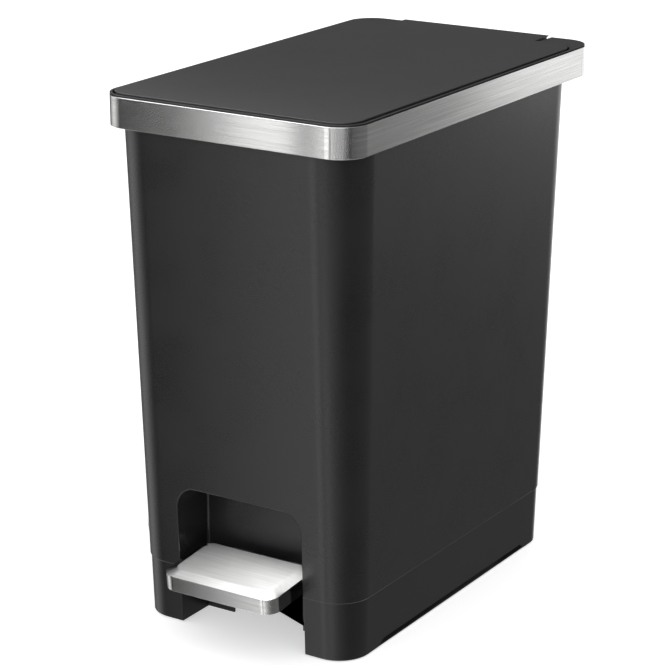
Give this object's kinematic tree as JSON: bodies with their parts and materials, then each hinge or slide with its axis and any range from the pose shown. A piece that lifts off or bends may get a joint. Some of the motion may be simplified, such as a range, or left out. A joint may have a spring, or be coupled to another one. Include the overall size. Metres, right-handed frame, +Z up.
{
  "type": "pedal trash can",
  "caption": "Slim rectangular step-on waste bin: tapered black body, steel-banded rim and a flat hinged lid that a front pedal lifts.",
  "frame": {"origin": "on the floor, at the middle of the whole can's outline seen from above", "axes": "+Z up; the front, with the pedal, faces -Y; +X is the right-hand side seen from the front"},
  "size_m": [0.26, 0.456, 0.4955],
  "materials": {
    "body_plastic": "satin moulded, fine texture",
    "base_plastic": "satin moulded, fine texture",
    "lid_plastic": "matt moulded, fine grain",
    "bucket_plastic": "matt moulded",
    "brushed_steel": "fine straight brushing along the strip",
    "zinc_steel": "zinc plated",
    "black_steel": "black powder coat",
    "rubber": "matt",
    "nylon": "natural moulded"
  },
  "bodies": {
    "can": {"outer_body": "body_plastic", "base": "base_plastic", "foot_pad_front_left": "rubber", "foot_pad_front_right": "rubber", "foot_pad_rear_left": "rubber", "foot_pad_rear_right": "rubber", "base_screw_front_left": "zinc_steel", "base_screw_front_right": "zinc_steel", "base_screw_rear_left": "zinc_steel", "base_screw_rear_right": "zinc_steel", "rim_collar": "body_plastic", "steel_band": "brushed_steel", "hinge_bracket_left": "body_plastic", "hinge_bracket_right": "body_plastic", "hinge_pin_left": "zinc_steel", "hinge_pin_right": "zinc_steel", "bracket_screw_1": "zinc_steel", "bracket_screw_2": "zinc_steel", "bracket_screw_3": "zinc_steel", "bracket_screw_4": "zinc_steel", "rod_guide_upper": "body_plastic", "rod_guide_middle": "body_plastic", "rod_guide_lower": "body_plastic", "axle_bush_left": "nylon", "axle_bush_right": "nylon", "lever_buffer": "rubber", "inner_bucket": "bucket_plastic"},
    "lid": {"lid_panel": "lid_plastic", "lid_liner": "lid_plastic", "lid_screw_1": "zinc_steel", "lid_screw_2": "zinc_steel", "lid_screw_3": "zinc_steel", "lid_screw_4": "zinc_steel", "lid_bumper_left": "rubber", "lid_bumper_right": "rubber", "lid_crank": "zinc_steel", "crank_pin": "zinc_steel", "crank_roller": "nylon"},
    "rod": {"lift_rod": "zinc_steel", "rod_cap": "nylon", "rod_shoe": "nylon"},
    "pedal": {"pedal_lever": "black_steel", "pedal_axle": "zinc_steel", "pedal_cover": "brushed_steel", "pedal_core": "base_plastic", "pedal_screw_1": "zinc_steel", "pedal_screw_2": "zinc_steel"}
  },
  "joints": [
    {"name": "lid_hinge", "type": "hinge", "parent": "can", "child": "lid", "pos_m": [0, 0.212, 0.486], "axis": [-1, 0, 0], "range_deg": [0, 80]},
    {"name": "rod_slide", "type": "slide", "parent": "can", "child": "rod", "axis": [0, 0.0467, 0.9989], "range_m": [0, 0.0252]},
    {"name": "pedal_pivot", "type": "hinge", "parent": "can", "child": "pedal", "pos_m": [0, 0.031, 0.026], "axis": [1, 0, 0], "range_deg": [0, 10]}
  ],
  "couplings": [
    {"joint": "pedal_pivot", "follows": "lid_hinge", "ratio": 0.125},
    {"joint": "rod_slide", "follows": "lid_hinge", "m_per_rad": 0.01804}
  ]
}
